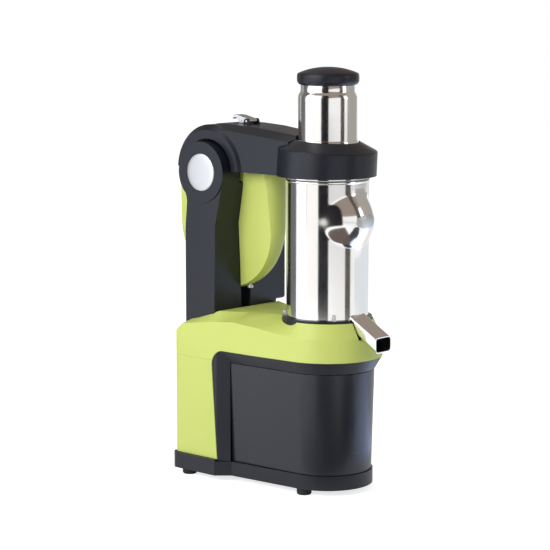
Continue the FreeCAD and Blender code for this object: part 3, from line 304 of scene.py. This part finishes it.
grain_group, given, result = new_group("moulded_grain", [("Scale", 900.0), ("Coarse", 0.3)], ["Height"])
place = add_node(grain_group, "ShaderNodeTexCoord")
fine = add_node(grain_group, "ShaderNodeTexNoise", Detail=2.0)
join(grain_group, place, "Object", fine, "Vector")
join(grain_group, given, "Scale", fine, "Scale")
pits = add_node(grain_group, "ShaderNodeTexVoronoi")
join(grain_group, place, "Object", pits, "Vector")
join(grain_group, given, "Scale", pits, "Scale")
blend = add_node(grain_group, "ShaderNodeMix")
join(grain_group, given, "Coarse", blend, "Factor")
grain_group.links.new(fine.outputs["Fac"], blend.inputs["A"])
grain_group.links.new(pits.outputs["Distance"], blend.inputs["B"])
grain_group.links.new(blend.outputs["Result"], result.inputs["Height"])

marks_group, given, result = new_group(
    "handling_marks", [("Scale", 12.0), ("Low", 0.3), ("High", 0.4)], ["Roughness", "Shade"])
place = add_node(marks_group, "ShaderNodeTexCoord")
cloud = add_node(marks_group, "ShaderNodeTexNoise", Detail=5.0, Roughness=0.6)
join(marks_group, place, "Object", cloud, "Vector")
join(marks_group, given, "Scale", cloud, "Scale")
spread = add_node(marks_group, "ShaderNodeMapRange")
spread.inputs["From Min"].default_value = 0.3
spread.inputs["From Max"].default_value = 0.7
join(marks_group, cloud, "Fac", spread, "Value")
join(marks_group, given, "Low", spread, "To Min")
join(marks_group, given, "High", spread, "To Max")
marks_group.links.new(spread.outputs["Result"], result.inputs["Roughness"])
marks_group.links.new(cloud.outputs["Fac"], result.inputs["Shade"])
print("groups:", [g.name for g in bpy.data.node_groups])

# %% [markdown]
# One recipe serves all the plastics and rubbers. It mixes two close colours
# over the surface, lets the marks vary the gloss, and bumps it with the grain.
# Gloss level and coat are the same all over, so they sit on the shader itself.

# %% Recipe for moulded finishes
MARKS_SCALE = 9.0


def group_node(tree, group, **values):
    made = tree.nodes.new("ShaderNodeGroup")
    made.node_tree = group
    for name, value in values.items():
        made.inputs[name].default_value = value
    return made


def new_finish(name):
    finish = bpy.data.materials.new(name)
    finish.use_nodes = True
    tree = finish.node_tree
    tree.nodes.clear()
    shader = tree.nodes.new("ShaderNodeBsdfPrincipled")
    join(tree, shader, "BSDF", add_node(tree, "ShaderNodeOutputMaterial"), "Surface")
    return finish, tree, shader


def colour_between(tree, marks, first, second):
    mix = add_node(tree, "ShaderNodeMix", data_type="RGBA")
    mix.inputs[6].default_value = (*first, 1)
    mix.inputs[7].default_value = (*second, 1)
    tree.links.new(marks.outputs["Shade"], mix.inputs[0])
    return mix.outputs[2]


def moulded(name, first, second, gloss, grain, depth, level=0.5, coat=0.0):
    finish, tree, shader = new_finish(name)
    marks = group_node(tree, marks_group, Scale=MARKS_SCALE, Low=gloss[0], High=gloss[1])
    grain_node = group_node(tree, grain_group, Scale=grain, Coarse=0.35)
    bump = add_node(tree, "ShaderNodeBump", Strength=depth, Distance=0.001)
    join(tree, grain_node, "Height", bump, "Height")
    join(tree, bump, "Normal", shader, "Normal")
    join(tree, marks, "Roughness", shader, "Roughness")
    tree.links.new(colour_between(tree, marks, first, second), shader.inputs["Base Color"])
    shader.inputs["Specular IOR Level"].default_value = level
    shader.inputs["Coat Weight"].default_value = coat
    shader.inputs["Coat Roughness"].default_value = 0.25
    return finish


print("moulded recipe ready")

# %% [markdown]
# Each line gives two close colours, the range of the gloss, the grain's scale
# and depth, and for some the shader's own gloss level and coat.

# %% Moulded finishes
finishes = {}
for name, first, second, *recipe in (
        ("green_shell", (0.545, 0.625, 0.145), (0.585, 0.665, 0.175), (0.34, 0.42), 700, 0.05, 0.35),
        ("black_shell", (0.007, 0.009, 0.015), (0.011, 0.013, 0.021), (0.30, 0.38), 1100, 0.10, 0.35),
        ("container_plastic", (0.008, 0.010, 0.017), (0.012, 0.014, 0.022), (0.26, 0.32), 1300, 0.05),
        ("rubber_black", (0.010, 0.010, 0.011), (0.018, 0.018, 0.019), (0.6, 0.75), 500, 0.2, 0.3),
        ("screw_plastic", (0.10, 0.10, 0.11), (0.13, 0.13, 0.14), (0.35, 0.45), 800, 0.06),
        ("motor_paint", (0.14, 0.15, 0.16), (0.18, 0.19, 0.20), (0.35, 0.5), 300, 0.1),
        ("board_green", (0.03, 0.20, 0.09), (0.05, 0.27, 0.13), (0.3, 0.4), 400, 0.05),
        ("start_green", (0.06, 0.42, 0.15), (0.08, 0.50, 0.19), (0.22, 0.3), 900, 0.03, 0.5, 0.3),
        ("stop_red", (0.60, 0.04, 0.03), (0.68, 0.06, 0.05), (0.22, 0.3), 900, 0.03, 0.5, 0.3),
        ("seal_white", (0.70, 0.70, 0.68), (0.76, 0.76, 0.74), (0.5, 0.6), 500, 0.06)):
    finishes[name] = moulded(name, first, second, *recipe)
print("moulded finishes:", len(finishes))

# %% [markdown]
# Metals differ by how they were worked. Polished steel keeps a mirror with
# faint smears. Drawn parts keep fine level lines, which a noise stretched in X
# and Y gives. Cast aluminium is dull and slightly mottled.

# %% Groups for metal
lines_group, given, result = new_group("drawn_lines", [("Scale", 600.0), ("Stretch", 0.02)], ["Height"])
place = add_node(lines_group, "ShaderNodeTexCoord")
apart = add_node(lines_group, "ShaderNodeSeparateXYZ")
join(lines_group, place, "Object", apart, "Vector")
along = add_node(lines_group, "ShaderNodeMath", operation="MULTIPLY")
lines_group.links.new(apart.outputs["X"], along.inputs[0])
join(lines_group, given, "Stretch", along, 1)
across = add_node(lines_group, "ShaderNodeMath", operation="MULTIPLY")
lines_group.links.new(apart.outputs["Y"], across.inputs[0])
join(lines_group, given, "Stretch", across, 1)
back = add_node(lines_group, "ShaderNodeCombineXYZ")
lines_group.links.new(along.outputs[0], back.inputs["X"])
lines_group.links.new(across.outputs[0], back.inputs["Y"])
lines_group.links.new(apart.outputs["Z"], back.inputs["Z"])
line = add_node(lines_group, "ShaderNodeTexNoise", Detail=3.0)
join(lines_group, back, "Vector", line, "Vector")
join(lines_group, given, "Scale", line, "Scale")
lines_group.links.new(line.outputs["Fac"], result.inputs["Height"])
print("metal group ready")

# %% [markdown]
# The metals share one recipe too. A stretch of 1 gives an even grain, and a
# small stretch draws it out into lines.


# %% Metal finishes
def metal(name, first, second, gloss, depth, scale=600.0, stretch=0.02):
    finish, tree, shader = new_finish(name)
    marks = group_node(tree, marks_group, Scale=MARKS_SCALE, Low=gloss[0], High=gloss[1])
    drawn = group_node(tree, lines_group, Scale=scale, Stretch=stretch)
    bump = add_node(tree, "ShaderNodeBump", Strength=depth, Distance=0.0005)
    join(tree, drawn, "Height", bump, "Height")
    join(tree, bump, "Normal", shader, "Normal")
    join(tree, marks, "Roughness", shader, "Roughness")
    tree.links.new(colour_between(tree, marks, first, second), shader.inputs["Base Color"])
    shader.inputs["Metallic"].default_value = 1.0
    return finish


for name, first, second, *recipe in (
        ("polished_steel", (0.86, 0.85, 0.83), (0.92, 0.91, 0.90), (0.09, 0.15), 0.01, 25, 1.0),
        ("satin_steel", (0.58, 0.58, 0.58), (0.66, 0.66, 0.65), (0.24, 0.34), 0.15),
        ("cast_aluminium", (0.60, 0.61, 0.62), (0.70, 0.71, 0.72), (0.4, 0.5), 0.2, 300, 1.0),
        ("silver_disc", (0.57, 0.575, 0.58), (0.62, 0.625, 0.63), (0.36, 0.44), 0.1, 500, 1.0),
        ("bronze", (0.52, 0.36, 0.17), (0.62, 0.44, 0.22), (0.35, 0.45), 0.1, 400, 1.0)):
    finishes[name] = metal(name, first, second, *recipe)
print("finishes:", len(finishes))

# %% [markdown]
# The record names the slot of each CAD node, and each node gets that finish.
# The pieces modelled below stand in for some of the nodes.

# %% Dress the CAD nodes
slot_of = {part["node"]: part["material_slot"] for part in frame["record"]["subparts"]}
for name, node in nodes.items():
    node.data.materials.clear()
    node.data.materials.append(finishes[slot_of[name]])
print("dressed", len(slot_of), "nodes")

# %% [markdown]
# Modelling is done with Blender's own tools, which act on what is selected. A
# few helpers pick the piece, select parts of it by a test, and close it up.


# %% Helpers for picking
def pick(piece):
    bpy.ops.object.select_all(action="DESELECT")
    bpy.context.view_layer.objects.active = piece
    piece.select_set(True)


def select_by(piece, kind, test):
    # in edit mode: selects the edges or faces that pass the test
    bpy.ops.mesh.select_mode(type=kind)
    bpy.ops.mesh.select_all(action="DESELECT")
    bpy.ops.object.mode_set(mode="OBJECT")
    for part in {"EDGE": piece.data.edges, "FACE": piece.data.polygons}[kind]:
        if test(part):
            part.select = True
    bpy.ops.object.mode_set(mode="EDIT")


def close_up(piece):
    # in edit mode: merges the poles and the seam, and turns all faces outwards
    bpy.ops.mesh.select_mode(type="VERT")
    bpy.ops.mesh.select_all(action="SELECT")
    bpy.ops.mesh.remove_doubles(threshold=0.00005)
    bpy.ops.mesh.normals_make_consistent(inside=False)
    bpy.ops.object.mode_set(mode="OBJECT")


print("picking helpers ready")

# %% [markdown]
# Round parts are turned or drawn, so each starts as a circle. The circle is
# extruded along the part's profile, loop by loop, and every new loop is scaled
# to its radius. That is the same as drawing half a section and spinning it, and
# it keeps the faces in clean rings, which a mirror finish needs.

# %% Helper for turned pieces
POLE = 0.02     # millimetres, the radius of a loop that close_up merges to a point


def turned(name, profile, segments):
    # profile is (radius, height) in millimetres
    bpy.ops.object.select_all(action="DESELECT")
    radius, height = profile[0]
    bpy.ops.mesh.primitive_circle_add(vertices=segments, radius=radius / 1000, location=at(0, 0, height))
    piece = bpy.context.object
    piece.name = piece.data.name = name
    bpy.ops.object.transform_apply(location=True, rotation=True, scale=True)
    bpy.ops.object.mode_set(mode="EDIT")
    bpy.ops.mesh.select_mode(type="VERT")
    bpy.ops.mesh.select_all(action="SELECT")
    for (r0, z0), (r1, z1) in zip(profile, profile[1:]):
        bpy.ops.mesh.extrude_region_move(TRANSFORM_OT_translate={"value": (0, 0, (z1 - z0) / 1000)})
        bpy.ops.transform.resize(value=(r1 / r0, r1 / r0, 1), center_override=at(0, 0, z1))
    close_up(piece)
    return piece


print("turning helper ready")

# %% [markdown]
# A finished piece is smoothed, given its finish, and told which body it rides
# and which CAD nodes it stands for.

# %% Helpers for finishing a piece
SOFT_EDGE_ANGLE = 40    # degrees, above which a softened piece keeps an edge sharp


def use(piece, kind, **settings):
    # adds a modifier with its settings and applies it
    pick(piece)
    modifier = piece.modifiers.new(kind.lower(), kind)
    for title, value in settings.items():
        setattr(modifier, title, value)
    bpy.ops.object.modifier_apply(modifier=modifier.name)


def smooth(piece, angle):
    pick(piece)
    bpy.ops.object.shade_smooth_by_angle(angle=math.radians(angle))


def soften(piece, width, segments, angle):
    use(piece, "BEVEL", width=width / 1000, segments=segments, limit_method="ANGLE",
        angle_limit=math.radians(angle), use_clamp_overlap=True)
    smooth(piece, SOFT_EDGE_ANGLE)
    use(piece, "WEIGHTED_NORMAL", keep_sharp=True, weight=80)


def dress(piece, body, slot, *replaced):
    piece.data.materials.clear()
    piece.data.materials.append(finishes[slot])
    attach(piece, body)
    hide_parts(*replaced)
    print(piece.name, "rides", body, "with", len(piece.data.polygons), "faces")


print("finishing helpers ready")

# %% [markdown]
# The bowl is a drawn steel pot with a rolled rim. On its front a round swelling
# carries the badge. A sphere joined to the wall would leave a hard seam, so the
# wall's fine rings are pushed out in code instead: each point goes to the
# larger of wall and sphere, with a soft blend where the two are close.

# %% Bowl
BOWL_R, BOWL_WALL, BOWL_FOOT = 66.0, 1.5, 262.0
BUMP_R, BUMP_OUT, BUMP_Z, BUMP_SOFT = 45.0, 38.0, 440.0, 18.0
ROW_STEP, FINE_LOW, FINE_ROWS = 2.2, 396.0, 41
SWELL_LOW, SWELL_HIGH = 390, 490        # the swelling stays between these heights
fine_rows = [FINE_LOW + ROW_STEP * i for i in range(FINE_ROWS)]
rows = [267.0, 274.0, 290.0, 315.0, 340.0, 370.0] + fine_rows + [492.0, 498.5]
foot = [(40.0, BOWL_FOOT), (61.0, BOWL_FOOT), (63.9, 262.7), (65.5, 264.6)]
outside = [(BOWL_R, z) for z in rows]
rim = [(67.0, 499.3), (67.5, 500.4), (67.5, 502.6), (66.8, 503.4), (65.4, 503.5), (64.6, 502.9)]
inside = [(BOWL_R - BOWL_WALL, z) for z in reversed(rows)]
floor_in = [(62.0, 264.2), (20.0, 263.5), (14.0, 263.5), (14.0, BOWL_FOOT), (40.0, BOWL_FOOT)]
bowl = turned("bowl_dressed", foot + outside + rim + inside + floor_in, 192)


def swollen(x, y, z, wall):
    # distance from the axis that a wall point gets, all in millimetres
    reach = math.hypot(x, y)
    cosine = -y / reach
    rest = (BUMP_R - (BOWL_R - wall)) ** 2 - (z - BUMP_Z) ** 2 - (BUMP_OUT ** 2) * (1 - cosine ** 2)
    if rest <= 0:
        return wall
    ball = BUMP_OUT * cosine + math.sqrt(rest)
    near = max(BUMP_SOFT - abs(ball - wall), 0) / BUMP_SOFT
    return max(ball, wall) + near * near * BUMP_SOFT / 4


for vertex in bowl.data.vertices:
    place = (vertex.co - AXIS) * 1000
    reach = math.hypot(place.x, place.y)
    for wall in (BOWL_R, BOWL_R - BOWL_WALL):
        if abs(reach - wall) < 0.05 and place.y < 0 and SWELL_LOW < place.z < SWELL_HIGH:
            scale = swollen(place.x, place.y, place.z, wall) / reach
            vertex.co = at(place.x * scale, place.y * scale, place.z)
smooth(bowl, 45)
dress(bowl, "base", "polished_steel", "bowl")

# %% [markdown]
# The spout is a rectangular tube with well rounded corners that falls at 30
# degrees, and its mouth is cut upright. It starts as a cube: its long edges are
# bevelled, its ends deleted, and it is turned to its fall. Solidify gives it a
# wall. Bisecting at the mouth leaves two loops, which a bridge joins into the
# bright cut edge.

# %% Spout
SPOUT_W, SPOUT_H, SPOUT_CORNER, SPOUT_WALL = 38.0, 22.0, 6.0, 1.5
SPOUT_FALL, SPOUT_ROOT_Z, SPOUT_REACH = 30.0, 277.4, 51.0
SPOUT_IN = 8.0      # how far the tube starts inside the bowl's wall
spout_length = (SPOUT_REACH + SPOUT_H) / math.cos(math.radians(SPOUT_FALL))
middle = at(0, -BOWL_R - (spout_length - SPOUT_IN) / 2, SPOUT_ROOT_Z)
bpy.ops.object.select_all(action="DESELECT")
bpy.ops.mesh.primitive_cube_add(size=1, location=middle)
spout = bpy.context.object
spout.name = spout.data.name = "spout_dressed"
spout.scale = Vector((SPOUT_W, spout_length + SPOUT_IN, SPOUT_H)) / 1000
bpy.ops.object.transform_apply(location=True, rotation=True, scale=True)
bpy.ops.object.mode_set(mode="EDIT")


def runs_along_y(edge):
    a, b = (spout.data.vertices[i].co for i in edge.vertices)
    return abs(a.x - b.x) < 1e-6 and abs(a.z - b.z) < 1e-6


def at_mouth(edge):
    return all(abs(spout.data.vertices[i].co.y - mouth.y) < 1e-5 for i in edge.vertices)


select_by(spout, "EDGE", runs_along_y)
bpy.ops.mesh.bevel(offset=SPOUT_CORNER / 1000, segments=8)
select_by(spout, "FACE", lambda face: abs(face.normal.y) > 0.9)
bpy.ops.mesh.delete(type="FACE")
bpy.ops.mesh.select_all(action="SELECT")
root = at(0, -BOWL_R, SPOUT_ROOT_Z)
bpy.ops.transform.rotate(value=math.radians(-SPOUT_FALL), orient_axis="X", center_override=root)
bpy.ops.object.mode_set(mode="OBJECT")
use(spout, "SOLIDIFY", thickness=SPOUT_WALL / 1000, offset=-1.0, use_even_offset=True)
mouth = at(0, -BOWL_R - SPOUT_REACH, 0)
bpy.ops.object.mode_set(mode="EDIT")
bpy.ops.mesh.select_all(action="SELECT")
bpy.ops.mesh.bisect(plane_co=mouth, plane_no=(0, -1, 0), clear_outer=True)
select_by(spout, "EDGE", at_mouth)
bpy.ops.mesh.bridge_edge_loops()
close_up(spout)
soften(spout, 0.35, 2, 50)
print("spout reaches", round(min(vertex.co.y for vertex in spout.data.vertices), 4))
dress(spout, "base", "polished_steel", "spout")

# %% [markdown]
# The feed chute is a tube with a rounded shoulder and a narrower neck under the
# pusher's cap. The collar is the polished ring where it comes out of the arm.

# %% Feed chute and collar
CHUTE_R, CHUTE_IN, NECK_R, NECK_IN = 47.5, 46.0, 43.5, 42.0
CHUTE_FOOT, CHUTE_TOP = 505.0, 652.0
COLLAR_R, COLLAR_IN, COLLAR_FOOT, COLLAR_TOP = 51.5, 47.6, 542.0, 565.0
wall = [(CHUTE_R, z) for z in (CHUTE_FOOT, 520.0, 560.0, 600.0, 631.0)]
shoulder = [(47.3, 633.8), (46.6, 636.4), (45.4, 638.6), (44.2, 640.2), (43.7, 641.6), (NECK_R, 644.0)]
lip = [(NECK_R, 651.3), (43.1, CHUTE_TOP), (42.4, CHUTE_TOP), (NECK_IN, 651.4), (NECK_IN, 640.0)]
back_down = [(CHUTE_IN, 633.0), (CHUTE_IN, CHUTE_FOOT)]
chute = turned("feed_chute_dressed", [(CHUTE_IN, CHUTE_FOOT)] + wall + shoulder + lip + back_down, 160)
smooth(chute, 35)
dress(chute, "arm", "polished_steel", "feed_chute")
collar = turned("chute_collar_dressed", [
    (COLLAR_IN, COLLAR_FOOT), (COLLAR_R, COLLAR_FOOT), (COLLAR_R, 556.0), (51.2, 557.6), (50.3, 558.8),
    (49.5, 561.5), (49.2, 564.0), (48.6, COLLAR_TOP), (COLLAR_IN, COLLAR_TOP),
    (COLLAR_IN, COLLAR_FOOT)], 160)
smooth(collar, 35)
dress(collar, "arm", "polished_steel", "chute_collar")

# %% [markdown]
# The pusher's cap is a black moulding: a slightly domed top, a rolled edge, and
# a skirt that tapers in where it meets the chute.

# %% Pusher cap
CAP_R, CAP_FOOT, CAP_TOP = 49.5, 652.3, 680.0
DOME_FALL, DOME_POWER = 10.5, 2.2       # the fall at CAP_R, and how late it comes
RECESS_R, RECESS_Z = 41.0, 655.0        # the recess in the cap's underside
dome = [(CAP_R * t, CAP_TOP - DOME_FALL * t ** DOME_POWER)
        for t in (0.001, 0.08, 0.2, 0.35, 0.5, 0.65, 0.78, 0.88, 0.945)]
skirt = [(48.4, 669.7), (49.3, 667.6), (CAP_R, 665.0), (CAP_R, 659.0), (49.1, 656.8), (47.6, 654.4),
         (46.2, 652.8), (45.0, CAP_FOOT)]
recess = [(RECESS_R, CAP_FOOT), (RECESS_R, RECESS_Z), (POLE, RECESS_Z)]
cap = turned("pusher_cap_dressed", dome + skirt + recess, 128)
smooth(cap, 35)
dress(cap, "pusher", "black_shell", "pusher_cap")

# %% [markdown]
# Two silver discs cover the ends of the hinge. Each is turned as a low button,
# then laid on its side. The second is a mirrored copy with its own mesh.

# %% Hinge discs
PIVOT_Y, PIVOT_Z, DISC_OUT, DISC_H = 209.0, 505.0, 78.5, 3.0
disc = turned("right_disc_dressed", [
    (POLE, DISC_H), (12.0, 2.95), (22.0, 2.75), (28.0, 2.4), (29.6, 2.1), (30.5, 1.5), (30.9, 0.8),
    (31.0, 0.0), (POLE, 0.0)], 128)
bpy.ops.object.mode_set(mode="EDIT")
bpy.ops.mesh.select_all(action="SELECT")
bpy.ops.transform.rotate(value=math.radians(-90), orient_axis="Y", center_override=AXIS)
bpy.ops.transform.translate(value=at(DISC_OUT - DISC_H, PIVOT_Y, PIVOT_Z) - AXIS)
bpy.ops.object.mode_set(mode="OBJECT")
smooth(disc, 35)


def mirror_copy(piece, name):
    # a copy with its own mesh, mirrored in X about the bowl's axis
    twin = bpy.data.objects.new(name, piece.data.copy())
    bpy.context.scene.collection.objects.link(twin)
    pick(twin)
    bpy.ops.object.mode_set(mode="EDIT")
    bpy.ops.mesh.select_all(action="SELECT")
    bpy.ops.transform.resize(value=(-1, 1, 1), center_override=AXIS)
    bpy.ops.mesh.normals_make_consistent(inside=False)
    bpy.ops.object.mode_set(mode="OBJECT")
    return twin


left_disc = mirror_copy(disc, "left_disc_dressed")
dress(disc, "base", "silver_disc", "right_disc")
dress(left_disc, "base", "silver_disc", "left_disc")

# %% [markdown]
# The moulded shells already have the right shape in the CAD, but real mouldings
# have no knife edges. Each is copied, its triangles are merged and its flat
# areas dissolved into whole faces, and a bevel rounds each sharp edge. A weighted
# normal keeps the large faces flat and lets only the edges catch the light.

# %% Soft-edged shells
FLAT_ANGLE = 1.0        # degrees, below which faces count as one flat face
BEVEL_SEGMENTS = 3


def soft_shell(node, body, width, angle, slot=None):
    # width is the bevel's, in millimetres; only edges sharper than angle get it
    piece = bpy.data.objects.new(node + "_dressed", nodes[node].data.copy())
    bpy.context.scene.collection.objects.link(piece)
    pick(piece)
    bpy.ops.object.mode_set(mode="EDIT")
    bpy.ops.mesh.select_all(action="SELECT")
    bpy.ops.mesh.remove_doubles(threshold=0.00001)
    bpy.ops.mesh.dissolve_limited(angle_limit=math.radians(FLAT_ANGLE))
    bpy.ops.object.mode_set(mode="OBJECT")
    if piece.data.has_custom_normals:
        bpy.ops.mesh.customdata_custom_splitnormals_clear()
    soften(piece, width, BEVEL_SEGMENTS, angle)
    dress(piece, body, slot or slot_of[node], node)


for node, width, angle in (
        ("deck_shell", 2.0, 16), ("column_shell", 0.9, 24), ("container_surround", 0.8, 24),
        ("base_tray", 1.2, 24), ("right_upright", 2.5, 20), ("left_upright", 2.5, 20),
        ("rear_housing_right", 1.0, 30), ("rear_housing_left", 1.0, 30), ("control_box", 0.5, 30),
        ("back_panel", 0.5, 30), ("rubber_feet", 0.8, 30), ("badge_plate", 0.3, 30)):
    soft_shell(node, "base", width, angle)
soft_shell("pulp_container", "container", 0.7, 24)
soft_shell("arm", "arm", 1.6, 18)
soft_shell("latch_lever", "latch", 0.6, 24, slot="satin_steel")
soft_shell("speed_knob", "knob", 0.5, 30)
soft_shell("start_button", "start", 0.8, 30)
soft_shell("stop_button", "stop", 0.8, 30)
